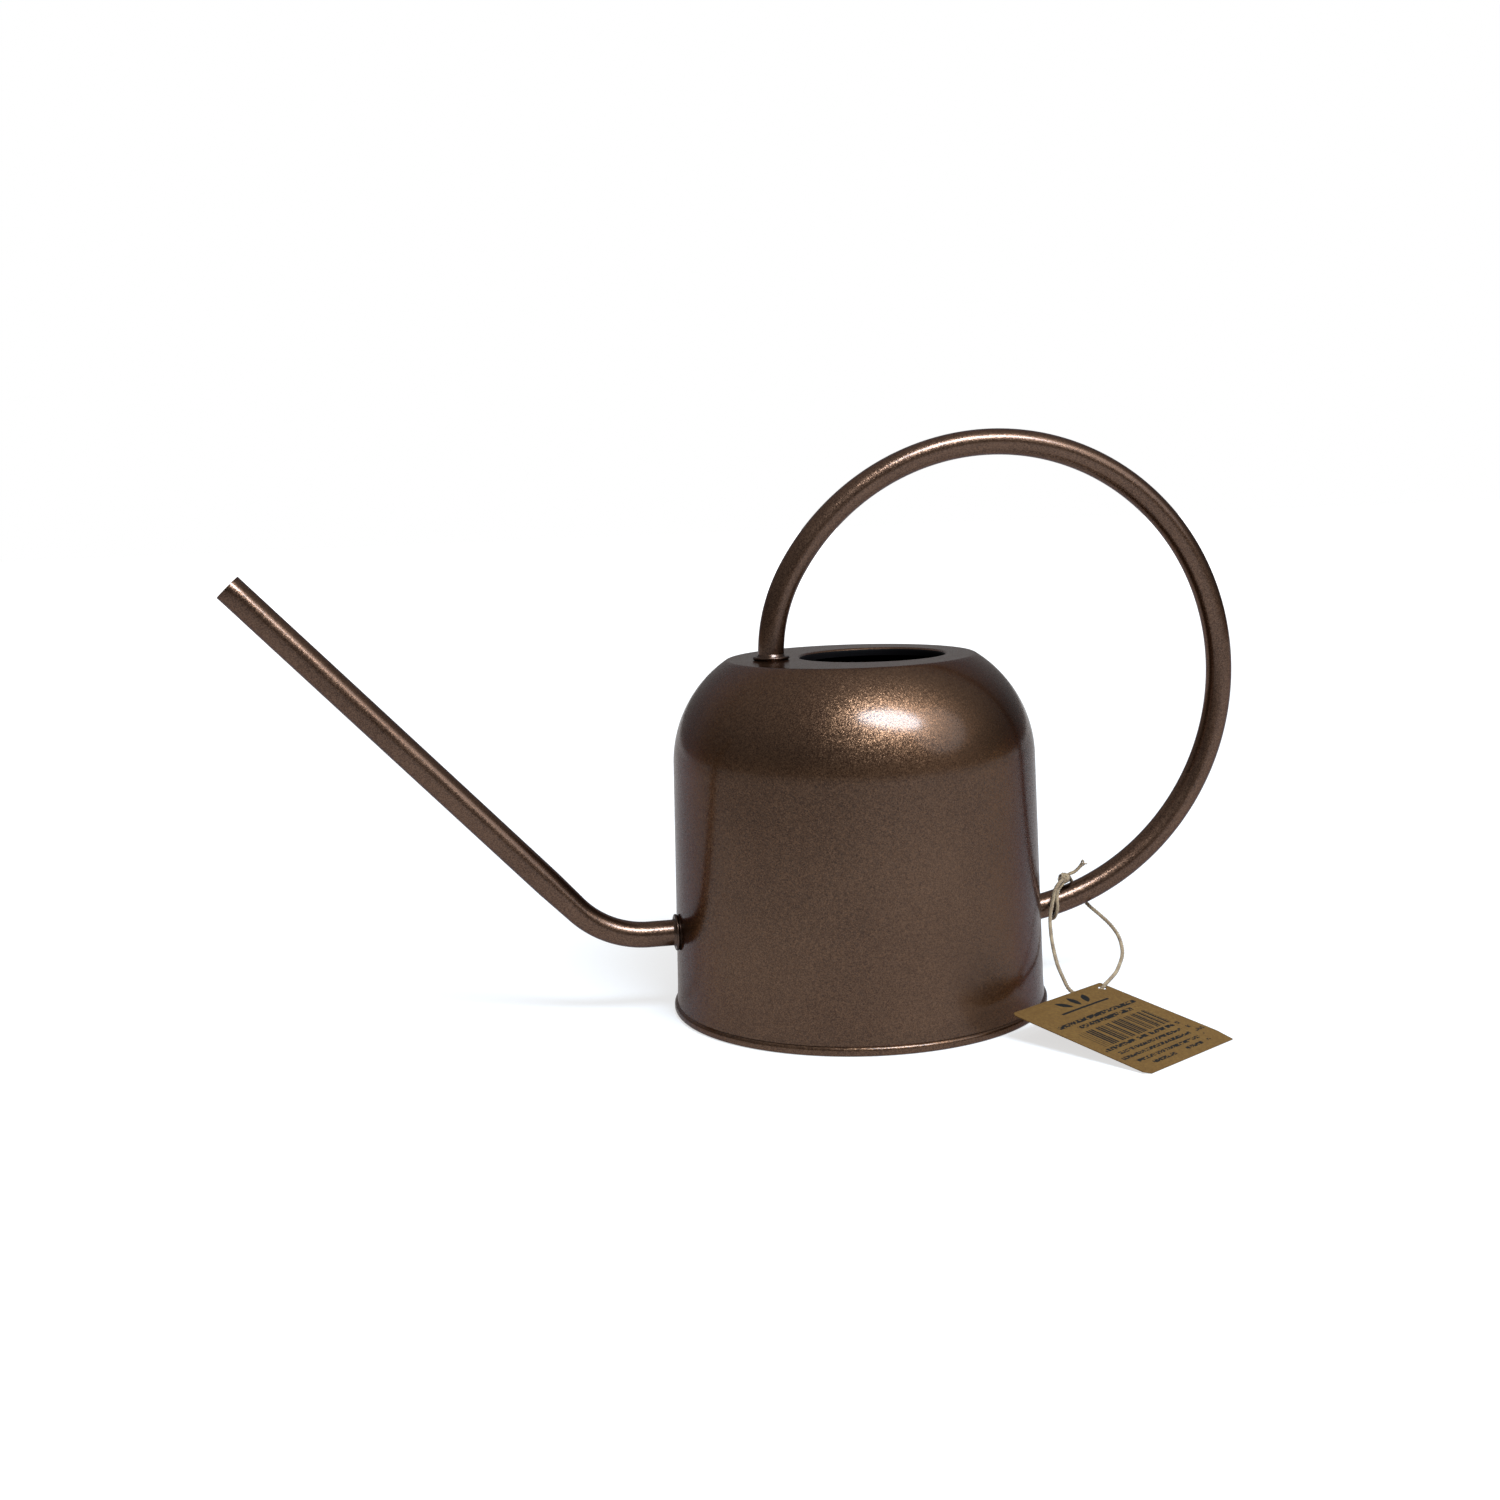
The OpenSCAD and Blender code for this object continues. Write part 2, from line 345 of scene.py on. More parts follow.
def painted_inside_shade():
    """Painted shade: a near-black, dull paint inside the can that stands in for the dark of its
    unlit interior.
    """
    n = Nodes("inside_shade_paint")
    # Near black with little reflection: painted shade, not a real paint colour
    colour = n.mix(n.noise(90.0, 4.0), rgb(0.001, 0.001, 0.001), rgb(0.003, 0.002, 0.002))
    rough = n.between(n.noise(200.0, 3.0), 0.3, 0.7, 0.6, 0.75)
    return n.set(Base_Color=colour, Metallic=0.0, Roughness=rough, Specular_IOR_Level=0.04,
                 Normal=n.bump(n.noise(900.0), 0.3, 0.00005))


def brazing():
    """Filler metal: dull brass, mottled by the flame."""
    n = Nodes("braze_metal")
    colour = n.mix(n.between(n.noise(700.0, 4.0), 0.35, 0.65), rgb(0.50, 0.38, 0.18),
                   rgb(0.16, 0.11, 0.07))
    return n.set(Base_Color=colour, Metallic=0.9,
                 Roughness=n.between(n.noise(900.0), 0.3, 0.7, 0.35, 0.6),
                 Normal=n.bump(n.noise(1500.0), 0.5, 0.0001))


def jute():
    """Dry jute: pale straw with darker fibres."""
    n = Nodes("jute_twine")
    fibre = n.noise(5200.0, 4.0, 0.6)
    patch = n.noise(260.0, 2.0)
    colour = n.mix(n.between(fibre, 0.35, 0.65), rgb(0.27, 0.175, 0.088), rgb(0.095, 0.058, 0.028))
    colour = n.mix(n.between(patch, 0.45, 0.7, 0.0, 0.5), colour, rgb(0.34, 0.245, 0.13))
    return n.set(Base_Color=colour, Roughness=0.85, Sheen_Weight=0.25, Sheen_Roughness=0.5,
                 Normal=n.bump(fibre, 0.6, 0.0001))


# ---- the lacquered metal pieces --------------------------------------------------------


def body_outline():
    """Outline of the shell as (centre x, r, z), from its bottom edge up the outside, over
    the deck, round the mouth's curl and back down the inside."""
    crease = 0.9                                   # rounding of the deck's edge
    run = crease * math.tan(SHOULDER_TURN / 4)
    out = []
    for r, z in stretch((wall_r(SEAT_Z), SEAT_Z), (TOP_R, WALL_TOP), 90):
        out.append((0, r + 0.5 * max(0.0, 1 - z / 11) ** 2, z))
    cx = TOP_R - SHOULDER_R
    out += [(0, r, z) for r, z in arc(cx, WALL_TOP, SHOULDER_R, 0, SHOULDER_TURN - 0.012, 44)]
    cr = DECK_R - run
    edge = arc(cr - 0.2, DECK_Z - crease, crease, SHOULDER_TURN - 0.3, math.pi / 2, 6)
    out += [(0, r, z) for r, z in edge if r < DECK_R - 0.05]
    hole = MOUTH_R + CURL_R
    for i in range(1, 15):
        t = i / 15
        out.append((MOUTH_X * t, edge[-1][0] + (hole - edge[-1][0]) * t, DECK_Z))
    lip = arc(hole, DECK_Z - CURL_R, CURL_R, math.pi / 2, math.pi, 8)
    lip += [(MOUTH_R, DECK_Z - 2.2), (MOUTH_R + 0.08, DECK_Z - 2.9), (MOUTH_R + 0.3, DECK_Z - 3.0)]
    lip += [(MOUTH_R + SHEET - 0.08, DECK_Z - 2.9), (MOUTH_R + SHEET, DECK_Z - 2.2)]
    lip += arc(hole, DECK_Z - CURL_R, CURL_R - SHEET, math.pi, math.pi / 2, 6)
    out += [(MOUTH_X, r, z) for r, z in lip]
    inner = SHOULDER_R - SHEET
    turn = math.acos((DECK_Z - SHEET - WALL_TOP) / inner)
    rim = cx + inner * math.sin(turn)
    for i in range(1, 12):
        t = 1 - i / 12
        out.append((MOUTH_X * t, rim + (hole - rim) * t, DECK_Z - SHEET))
    out += [(0, r, z) for r, z in arc(cx, WALL_TOP, inner, math.pi / 2 - turn, 0, 30)]
    bottom = (wall_r(SEAT_Z) - SHEET, SEAT_Z)
    out += [(0, r, z) for r, z in stretch((TOP_R - SHEET, WALL_TOP), bottom, 50)[1:]]
    out.append((0, *bottom))
    return out


def cutter(at, along, r, reach):
    """A plain rod for cutting, centred on a point."""
    w = along.normalized()
    u = w.orthogonal().normalized()
    v = w.cross(u)
    ends = [circle(at + w * d, u, v, r, 64) for d in (-reach, reach)]
    return mesh_object("cutter", *skin(ends, caps=True))


def joint_places():
    """Centre and outward direction of the three holes, and the tubes' directions there."""
    rear_z = RING_Z - math.sqrt(RING_R ** 2 - (wall_r(30) - RING_X) ** 2)
    rear = Vector((wall_r(rear_z), 0, rear_z))
    bend = RING_R - FRONT_BEND_R
    bend = Vector((RING_X + bend * math.cos(FRONT_BEND_AT), 0,
                   RING_Z + bend * math.sin(FRONT_BEND_AT)))
    front = Vector((bend.x - FRONT_BEND_R, 0, DECK_Z))
    spout = Vector((-wall_r(SPOUT_Z), 0, SPOUT_Z))
    rear_a = -math.acos((rear.x - RING_X) / RING_R)
    return {
        "spout": (spout, Vector((-1, 0, 0)), Vector((-1, 0, 0))),
        "front": (front, Vector((0, 0, 1)), Vector((0, 0, 1))),
        "rear": (rear, Vector((1, 0, 0)), Vector((-math.sin(rear_a), 0, math.cos(rear_a)))),
        "handle": (rear_a, bend),
    }


PLACES = joint_places()


def make_body(paint, inside):
    x = Vector((1, 0, 0))
    y = Vector((0, 1, 0))
    rings = [circle(Vector((cx, 0, z)), x, y, r, 256) for cx, r, z in body_outline()]
    body = normals_out(mesh_object("body", *skin(rings, closed=True)))
    holes = []
    for name in ("spout", "front", "rear"):
        at, _, along = PLACES[name]
        holes.append(normals_out(cutter(at, along, TUBE_R + FIT, 5)))
    cut(body, holes)
    body.data.materials.clear()
    body.data.materials.append(paint)
    body.data.materials.append(inside)
    # The second material, the near-black painted shade, goes on the inner faces and on the lower
    # half of the mouth's curl
    for face in body.data.polygons:
        face.material_index = int(is_inside(face.center / MM))
    finish_piece(body, "can", "body_paint", "body_shell")


def is_inside(p):
    """True for a point of the shell that lies on its inner face, or on the lower half of the
    mouth's curl, which takes the painted shade as well.
    """
    if p.z > DECK_Z - 3.2 and Vector((p.x - MOUTH_X, p.y)).length < MOUTH_R + CURL_R + 0.01:
        # Below the top of the curl, its outer face also gets the near-black painted shade, which
        # makes the dark mouth wider
        return p.z < DECK_Z - CURL_R * 0.45
    if p.z > WALL_TOP:
        r = Vector((Vector((p.x, p.y)).length - (TOP_R - SHOULDER_R), p.z - WALL_TOP)).length
        on_deck = p.z > DECK_Z - SHEET / 2
        return not on_deck and r < SHOULDER_R - SHEET / 2
    return Vector((p.x, p.y)).length < wall_r(p.z) - SHEET / 2


def finish_piece(obj, body, slot, *nodes):
    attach(obj, body)
    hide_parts(*nodes)


def make_base(paint):
    """Disc with its edge rolled round the shell: a round bead, tight against the wall."""
    foot = BASE_R - 2 * SHEET - 0.05
    lift = 3.0
    big = 1.45                                     # rounding of the bead
    bead_h = 3.5                                   # the CAD's plain seam is 5 high
    outline = stretch((0.01, lift), (foot - SHEET - 3.2, lift), 14)
    outline += [(foot - SHEET - 2.6, lift - 0.1), (foot - SHEET - 2.1, lift - 0.5)]
    outline += [(foot - 1.4, 0.35), (foot - 1.0, 0.08), (foot - 0.5, 0.0), (SEAM_R - 1.9, 0.0)]
    outline += arc(SEAM_R - big, big, big, -math.pi / 2, 0, 10)
    outline += arc(SEAM_R - big, bead_h - big, big, 0, math.pi / 2 + 0.2, 12)
    outline += [(BASE_R + 0.1, bead_h - 0.25), (BASE_R + 0.1, 0.8)]
    outline += [(BASE_R - SHEET - 0.4, 0.8)]
    outline += [(BASE_R - SHEET - 0.4, lift + SHEET + 1), (foot - 1.3, lift + SHEET)]
    outline += [(0.01, lift + SHEET)]
    base = normals_out(mesh_object("base", *lathe(outline, 256)))
    base.data.materials.append(paint)
    finish_piece(base, "can", "body_paint", "base_pan")


def tube_rings(line):
    """Rings of an open tube along a planar centre line of (point, direction, radius), round
    the outside, over the far rim, back through the bore and over the near rim."""
    soft = 0.16                                    # rounding of a rim
    sides = 56
    across = Vector((0, 1, 0))
    last = len(line) - 1

    def ring(i, inward, shift=0.0):
        p, t, r = line[i]
        return circle(p + t * shift, t.cross(across), across, r - inward, sides)

    def along(i):
        return soft if i == 0 else (-soft if i == last else 0.0)

    rim = [(soft * 0.3, soft * 0.3), (soft, 0.0), (TUBE_WALL - soft, 0.0),
           (TUBE_WALL - soft * 0.3, soft * 0.3)]
    rings = [ring(i, 0.0, along(i)) for i in range(len(line))]
    rings += [ring(last, inward, -back) for inward, back in rim]
    rings += [ring(i, TUBE_WALL, along(i)) for i in range(last, -1, -1)]
    rings += [ring(0, inward, back) for inward, back in reversed(rim)]
    return rings


def spout_line():
    """The spout's centre line, from inside the wall to its tip."""
    bend = Vector((-wall_r(SPOUT_Z) - SPOUT_LEVEL, 0, SPOUT_Z + SPOUT_BEND_R))
    line = []
    start = -wall_r(SPOUT_Z) + STUB
    for i in range(6):
        p = Vector((start + (bend.x - start) * i / 6, 0, SPOUT_Z))
        line.append((p, Vector((-1, 0, 0)), TUBE_R))
    steps = 40
    for i in range(steps + 1):
        a = SPOUT_ANGLE * i / steps
        p = bend + SPOUT_BEND_R * Vector((-math.sin(a), 0, -math.cos(a)))
        line.append((p, Vector((-math.cos(a), 0, math.sin(a))), TUBE_R))
    p, t, _ = line[-1]
    steps = 36
    for i in range(1, steps + 1):
        run = SPOUT_STRAIGHT * i / steps
        share = min(1.0, run / SPOUT_TAPER)
        line.append((p + t * run, t, TUBE_R + (SPOUT_R - TUBE_R) * share))
    return line


def handle_line():
    """The handle's centre line, from inside the wall round to under the deck."""
    rear_a, bend = PLACES["handle"]
    low = rear_a - STUB / RING_R
    high = math.pi + (bend.z - DECK_Z + STUB) / FRONT_BEND_R
    ring = Vector((RING_X, 0, RING_Z))
    line = []
    for centre, r, start, end, steps in ((ring, RING_R, low, FRONT_BEND_AT, 190),
                                         (bend, FRONT_BEND_R, FRONT_BEND_AT, high, 40)):
        for i in range(1 if line else 0, steps + 1):
            a = start + (end - start) * i / steps
            out = Vector((math.cos(a), 0, math.sin(a)))
            line.append((centre + r * out, Vector((-out.z, 0, out.x)), TUBE_R))
    return line


def make_tube(name, line, node, paint):
    tube = normals_out(mesh_object(name, *skin(tube_rings(line), closed=True)))
    tube.data.materials.append(paint)
    finish_piece(tube, "can", "tube_paint", node)


def make_ferrule(name, place, node, paint, sink):
    """Turned collar: a flange with a round edge and a short neck that runs into the tube."""
    at, out, along = PLACES[place]
    bore = TUBE_R - FIT
    edge = 0.6                                     # rounding of the flange
    outline = [(bore, -sink), (FERRULE_R - 0.5, -sink), (FERRULE_R - 0.45, 0.12)]
    outline += arc(FERRULE_R - edge, 0.2 + edge, edge, -math.pi / 2, math.pi / 2, 10)
    outline += [(TUBE_R + 1.0, 1.36), (TUBE_R + 0.7, 1.22), (TUBE_R + 0.45, 1.28)]
    outline += [(TUBE_R + 0.3, 1.5), (TUBE_R + 0.16, 1.85), (bore, FERRULE_H)]
    points, faces = lathe(outline, 96)
    turn = Vector((0, 0, 1)).rotation_difference(out).to_matrix()
    lean = along / along.dot(out) - out            # sideways drift of the tube per millimetre
    points = [at + turn @ p + lean * p.z for p in points]
    ferrule = normals_out(mesh_object(name, points, faces))
    ferrule.data.materials.append(paint)
    finish_piece(ferrule, "can", "ferrule_paint", node)


def make_braze(name, place, node, metal):
    """Ring of filler metal inside the sheet, concave like a fillet, a little uneven."""
    at, out, along = PLACES[place]
    high = 1.3
    wide = 1.5
    outline = [(TUBE_R + 0.02, -SHEET + 0.02), (TUBE_R + wide, -SHEET + 0.02)]
    for i in range(1, 6):
        t = i / 6
        outline.append((TUBE_R + 0.05 + wide * (1 - t) ** 2, -SHEET - high * t))
    outline += [(TUBE_R + 0.02, -SHEET - high)]
    points, faces = lathe(outline, 72)
    turn = Vector((0, 0, 1)).rotation_difference(out).to_matrix()
    lean = along / along.dot(out) - out
    curve = 0.0 if place == "front" else 1.0       # the wall is round about the can's axis
    placed = []
    for p in points:
        q = turn @ p
        sag = curve * q.y * q.y / (2 * wall_r(SPOUT_Z))
        placed.append(at + q + lean * p.z - out * sag)
    ring = normals_out(mesh_object(name, placed, faces))
    ring.data.materials.append(metal)
    finish_piece(ring, "can", "braze_metal", node)


# ---- twine -----------------------------------------------------------------------------

TWINE_ROUTE = [
    (78, -2.5, 40), (75.5, -4.5, 39), (73.5, -5.5, 36.5), (72.5, -6, 32.5),
    (71, -8, 28.5), (69.5, -12, 25), (68, -18, 21.5), (66.5, -25, 18),
    (65.5, -32, 15), (65, -38.5, 12.5), (65.5, -43, 10), (68.5, -44, 8),
    (73, -43, 7), (76.5, -42, 8), (78, -41.5, 9), (79.5, -40.5, 10),
    (83, -36.5, 10.5), (88, -30, 11.5), (93, -22, 13.5), (96, -15, 15.5),
    (97, -9, 18.5), (95.5, -4.5, 22), (92.5, -1, 25.5), (89.5, 2.5, 28.5),
    (87.5, 5.5, 32), (85, 6, 36), (82.5, 4, 39.5), (80.5, 1.5, 40.5)]


def smooth_path(route, steps, closed=False):
    """Catmull-Rom curve through the route's points."""
    p = [Vector(q) for q in route]
    n = len(p)
    out = []
    spans = n if closed else n - 1
    for i in range(spans):
        if closed:
            a, b, c, d = p[i - 1], p[i], p[(i + 1) % n], p[(i + 2) % n]
        else:
            a, b, c, d = p[max(i - 1, 0)], p[i], p[i + 1], p[min(i + 2, n - 1)]
        for k in range(steps):
            t = k / steps
            out.append(0.5 * (2 * b + (c - a) * t + (2 * a - 5 * b + 4 * c - d) * t * t
                              + (3 * b - a - 3 * c + d) * t ** 3))
    if not closed:
        out.append(p[-1])
    return out


def even_steps(line, step):
    """The line again with points an equal step apart."""
    out = [line[0]]
    left = step
    for a, b in zip(line, line[1:]):
        span = (b - a).length
        while span > 0 and left <= span:
            a = a + (b - a) * (left / span)
            out.append(a)
            span = (b - a).length
            left = step
        left -= span
    out.append(line[-1])
    return out


def carried_frames(line):
    """Tangent and two side vectors at each point, without twist."""
    side = Vector((0, 0, 1))
    frames = []
    for i, p in enumerate(line):
        t = (line[min(i + 1, len(line) - 1)] - line[max(i - 1, 0)]).normalized()
        side = (side - t * side.dot(t)).normalized()
        frames.append((p, t, side, t.cross(side)))
    return frames


def twisted(line, r, pitch, splay=None):
    """Points and faces of a rope of three plies laid round a line. splay(s) spreads the
    plies apart, from 0 to 1 at the share s of the length."""
    plies = 3
    sides = 8
    frames = carried_frames(line)
    run = 0.0
    runs = []
    for i, (p, *_) in enumerate(frames):
        if i:
            run += (p - frames[i - 1][0]).length
        runs.append(run)
    ply_r = r * 0.58
    lay_r = r * 0.56
    strands = []
    for ply in range(plies):
        rings = []
        for s, (p, t, u, v) in zip(runs, frames):
            a = 2 * math.pi * (s / pitch + ply / plies)
            spread = splay(s / runs[-1]) if splay else 0.0
            wave = 1 + 0.10 * math.sin(s * 2.3 + ply * 2.1)
            away = math.cos(a) * u + math.sin(a) * v
            centre = p + away * lay_r * (1 + 2.6 * spread)
            w = (-math.sin(a) * u + math.cos(a) * v) * (2 * math.pi * lay_r / pitch) + t
            w.normalize()
            m = w.cross(away)
            rings.append(circle(centre, away, m, ply_r * wave * (1 - 0.25 * spread), sides))
        strands.append(skin(rings, caps=True))
    return joined(strands)


def fibres(line, count, seed, reach):
    """Loose fibres: thin curved hairs that leave the twine at a low angle."""
    thick = 0.035
    rng = random.Random(seed)
    frames = carried_frames(line)
    hairs = []
    for _ in range(count):
        p, t, u, v = frames[rng.randrange(len(frames))]
        a = rng.uniform(0, 2 * math.pi)
        away = math.cos(a) * u + math.sin(a) * v
        along = t * rng.choice((-1, 1))
        long = rng.uniform(*reach)
        lift = rng.uniform(0.15, 0.55)
        curl = rng.uniform(-0.5, 0.5)
        cross = along.cross(away)
        rings = []
        for k in range(5):
            s = k / 4
            q = (p + away * (TWINE_R * 0.8 + long * lift * s * s) + along * long * s
                 + cross * curl * long * s * s * 0.6)
            r = thick * (1 - 0.75 * s)
            spokes = (away, (cross - away) * 0.7, (-cross - away) * 0.7)
            rings.append([q + r * d for d in spokes])
        hairs.append(skin(rings, caps=True))
    return joined(hairs)


def knot_route():
    """A tight round knot: three turns over one another about the knot's place."""
    out = []
    lie = Matrix.Rotation(math.radians(25), 3, "Y") @ Matrix.Rotation(math.radians(60), 3, "X")
    for i in range(60):
        t = 6 * math.pi * i / 60
        tilt = Matrix.Rotation(t / 3, 3, "Z") @ Matrix.Rotation(math.radians(62), 3, "X")
        out.append(KNOT_AT + lie @ tilt @ Vector((math.cos(t), math.sin(t), 0)) * 1.6)
    return out


def wrap_route():
    """The twine's turn round the handle tube: down the front beside the loop's strand, and
    back up behind."""
    start = -math.acos((KNOT_AT.x - RING_X) / RING_R)
    out = [KNOT_AT + Vector((0, -1.2, -0.6))]
    for angle in range(25, 345, 16):
        a = math.radians(angle)
        shift = 1 - 5.5 * math.sin(min(a, math.pi / 2)) - 1.8 * max(0.0, math.sin(a - math.pi / 2))
        shift += 5.5 * max(0.0, a / math.pi - 1)
        place = start + shift / RING_R
        inward = Vector((-math.cos(place), 0, -math.sin(place)))
        centre = Vector((RING_X, 0, RING_Z)) - inward * RING_R
        out.append(centre + (inward * math.cos(a) + Vector((0, -math.sin(a), 0))) * 5.5)
    out.append(KNOT_AT + Vector((0.6, 1.2, -0.6)))
    return out


def make_twine(material):
    pitch = 3.4                                    # length of one turn of the plies
    gap = 0.25                                     # spacing of the rings along a strand
    line = even_steps(smooth_path(TWINE_ROUTE, 12), gap)
    loop = mesh_object("twine", *twisted(line, TWINE_R, pitch))
    loop.data.materials.append(material)
    finish_piece(loop, "twine", "jute_twine", "twine_loop")

    turns = smooth_path(knot_route(), 8, closed=True)
    wrap = even_steps(smooth_path(wrap_route(), 10), gap)
    tail_mid = KNOT_AT.lerp(TAIL_TO, 0.55) + Vector((0.2, 0, -0.7))
    tail_route = [KNOT_AT, KNOT_AT.lerp(TAIL_TO, 0.25), tail_mid, TAIL_TO]
    tail = even_steps(smooth_path(tail_route, 16), gap)
    tied = joined([
        twisted(even_steps(turns, gap), TWINE_R, pitch),
        twisted(wrap, TWINE_R, pitch),
        twisted(tail, TWINE_R * 0.95, 3.2, splay=lambda s: max(0.0, (s - 0.72) / 0.28) ** 2),
    ])
    knot = mesh_object("twine_knot_tied", *tied)
    knot.data.materials.append(material)
    finish_piece(knot, "twine", "jute_twine", "twine_knot")

    hairs = joined([fibres(line, 150, 5, (1.0, 3.0)), fibres(tail + turns, 60, 8, (0.8, 2.2))])
    fluff = mesh_object("twine_fibres", *hairs)
    fluff.data.materials.append(material)
    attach(fluff, "twine")


# ---- tag -------------------------------------------------------------------------------


def kraft():
    """Uncoated kraft card with flecks, and plain generic print on its upper face."""
    n = Nodes("kraft_card")
    pulp = n.noise(900.0, 6.0, 0.6)
    cloud = n.noise(60.0, 3.0)
    colour = n.mix(n.between(pulp, 0.3, 0.7), rgb(0.080, 0.037, 0.008), rgb(0.128, 0.066, 0.016))
    colour = n.mix(n.between(cloud, 0.35, 0.7, 0.0, 0.35), colour, rgb(0.08, 0.036, 0.008))
    fleck = n.between(n.noise(2600.0, 2.0), 0.68, 0.74)
    colour = n.mix(n.math("MULTIPLY", fleck, 0.5), colour, rgb(0.06, 0.035, 0.014))
    colour = n.mix(ink_mask(n), colour, rgb(0.004, 0.0035, 0.003))
    return n.set(Base_Color=colour, Specular_IOR_Level=0.15,
                 Roughness=n.between(pulp, 0.3, 0.7, 0.72, 0.88),
                 Normal=n.bump(pulp, 0.35, 0.00008))


def ink_mask(n):
    """Where there is ink, from 0 to 1, in the card's own coordinates: u from its left edge
    and v down from its top edge, in millimetres."""
    split = n.new("ShaderNodeSeparateXYZ")
    n.put(split.inputs[0], n.coords)
    u = n.math("MULTIPLY_ADD", split.outputs[0], 1000.0, TAG_W - TAG_INSET)
    v = n.math("MULTIPLY_ADD", split.outputs[1], -1000.0, TAG_INSET)

    def step(value, edge):
        soft = 0.06
        return n.between(value, edge - soft, edge + soft)

    def block(u0, u1, v0, v1):
        wide = n.math("ABSOLUTE", n.math("SUBTRACT", u, (u0 + u1) / 2))
        tall = n.math("ABSOLUTE", n.math("SUBTRACT", v, (v0 + v1) / 2))
        a = n.math("SUBTRACT", 1.0, step(wide, (u1 - u0) / 2))
        b = n.math("SUBTRACT", 1.0, step(tall, (v1 - v0) / 2))
        return n.math("MULTIPLY", a, b)

    def dice(cell_u, cell_v, seed):
        place = n.new("ShaderNodeCombineXYZ")
        n.put(place.inputs[0], n.math("FLOOR", n.math("DIVIDE", u, cell_u)))
        n.put(place.inputs[1], n.math("FLOOR", n.math("DIVIDE", v, cell_v)))
        place.inputs[2].default_value = seed
        noise = n.new("ShaderNodeTexWhiteNoise", noise_dimensions="3D")
        n.put(noise.inputs["Vector"], place.outputs[0])
        return noise.outputs["Value"]

    # Rows that read as small print from afar and as dashes close up
    words = n.math("GREATER_THAN", dice(3.1, 50.0, 1.0), 0.14)
    strokes = n.math("GREATER_THAN", dice(0.55, 0.55, 2.0), 0.34)
    small = n.math("MULTIPLY", words, strokes)
    large = n.math("GREATER_THAN", dice(0.62, 0.7, 5.0), 0.28)
    gaps = n.math("GREATER_THAN", n.math("FRACT", n.math("DIVIDE", u, 1.3)), 0.3)
    bars = n.math("MULTIPLY", gaps, n.math("GREATER_THAN", dice(0.65, 80.0, 4.0), 0.3))
    masks = [
        block(14, 40, 10.4, 11.4),
        n.math("MULTIPLY", block(3.5, 46.5, 16.4, 18.4), large),
        n.math("MULTIPLY", block(10, 40, 20.0, 22.0), large),
        n.math("MULTIPLY", block(5, 44, 24.0, 35.4), bars),
        n.math("MULTIPLY", block(2.5, 45, 36.4, 38.2), n.math("MULTIPLY", large,
               n.math("GREATER_THAN", dice(1.7, 80.0, 7.0), 0.3))),
        n.math("MULTIPLY", block(5, 45, 40.2, 41.8), small),
        n.math("MULTIPLY", block(2, 48, 43.6, 45.2), small),
        n.math("MULTIPLY", block(5.5, 44, 47.2, 48.8), small),
        n.math("MULTIPLY", block(8, 42, 50.6, 52.2), small),
    ]
    # Three plain leaves, each where two discs overlap
    for cu, cv, lean in ((21.0, 6.2, -35.0), (27.0, 5.9, 0.0), (33.0, 6.2, 35.0)):
        leaf = []
        for side in (-1, 1):
            a = math.radians(lean)
            du = n.math("SUBTRACT", u, cu + side * 3.2 * math.cos(a))
            dv = n.math("SUBTRACT", v, cv + side * 3.2 * math.sin(a))
            square = n.math("ADD", n.math("MULTIPLY", du, du), n.math("MULTIPLY", dv, dv))
            leaf.append(n.math("SUBTRACT", 1.0, step(n.math("SQRT", square), 4.6)))
        masks.append(n.math("MULTIPLY", *leaf))
    total = masks[0]
    for mask in masks[1:]:
        total = n.math("MAXIMUM", total, mask)
    worn = n.between(n.noise(1500.0, 3.0), 0.25, 0.45, 0.82, 1.0)
    face = n.math("GREATER_THAN", split.outputs[2], 0.0)
    return n.math("MULTIPLY", n.math("MULTIPLY", total, worn), face)


def make_tag(material):
    """The card in its own coordinates: origin at the hole, Z up from the printed face."""
    trim = 0.06                                    # keeps the bowed card in its own outline
    left = TAG_INSET - TAG_W + trim
    right = TAG_INSET - trim
    top = TAG_INSET - trim
    bottom = TAG_INSET - TAG_H + trim
    corner = 0.7
    outline = []
    corners = ((right - corner, top - corner, 0), (left + corner, top - corner, 90),
               (left + corner, bottom + corner, 180), (right - corner, bottom + corner, 270))
    for cx, cy, a in corners:
        for i in range(5):
            t = math.radians(a + 90 * i / 4)
            outline.append((cx + corner * math.cos(t), cy + corner * math.sin(t)))
    n = 160
    edge = resample(outline, n)
    rings = []
    soft = 0.06
    for share in (0.0, 0.04, 0.12, 0.25, 0.45, 0.7, 1.0):
        ring = []
        for k in range(n):
            a = math.atan2(edge[k][1], edge[k][0])
            hole = Vector((PUNCH_R * math.cos(a), PUNCH_R * math.sin(a)))
            ring.append(hole.lerp(Vector(edge[k]), share))
        rings.append(ring)

    def warp(p):
        """A slight bow across the card, nothing at its low edge."""
        s = (p.x - left) / TAG_W
        d = (top - p.y) / TAG_H
        return 0.35 * math.sin(math.pi * s) * (1 - d) ** 2 * (1 if d > 0.12 else d / 0.12)

    def layer(ring, z):
        return [Vector((p.x, p.y, z + warp(p))) for p in ring]

    half = TAG_T / 2
    loops = [layer(r, half) for r in rings]
    loops[-1] = [Vector((p.x, p.y, p.z - soft)) for p in loops[-1]]
    under = [layer(r, -half) for r in reversed(rings)]
    under[0] = [Vector((p.x, p.y, p.z + soft)) for p in under[0]]
    tag = mesh_object("hang_tag_card", *skin(loops + under, closed=True), sharp=math.radians(40))
    normals_out(tag)
    tag.data.materials.append(material)
    turn = Matrix.Rotation(TAG_TURN, 4, "Z") @ Matrix.Rotation(TAG_SLOPE, 4, "X")
    tag.matrix_world = Matrix.Translation(TAG_HOLE * MM) @ turn
    finish_piece(tag, "tag", "kraft_card", "hang_tag")


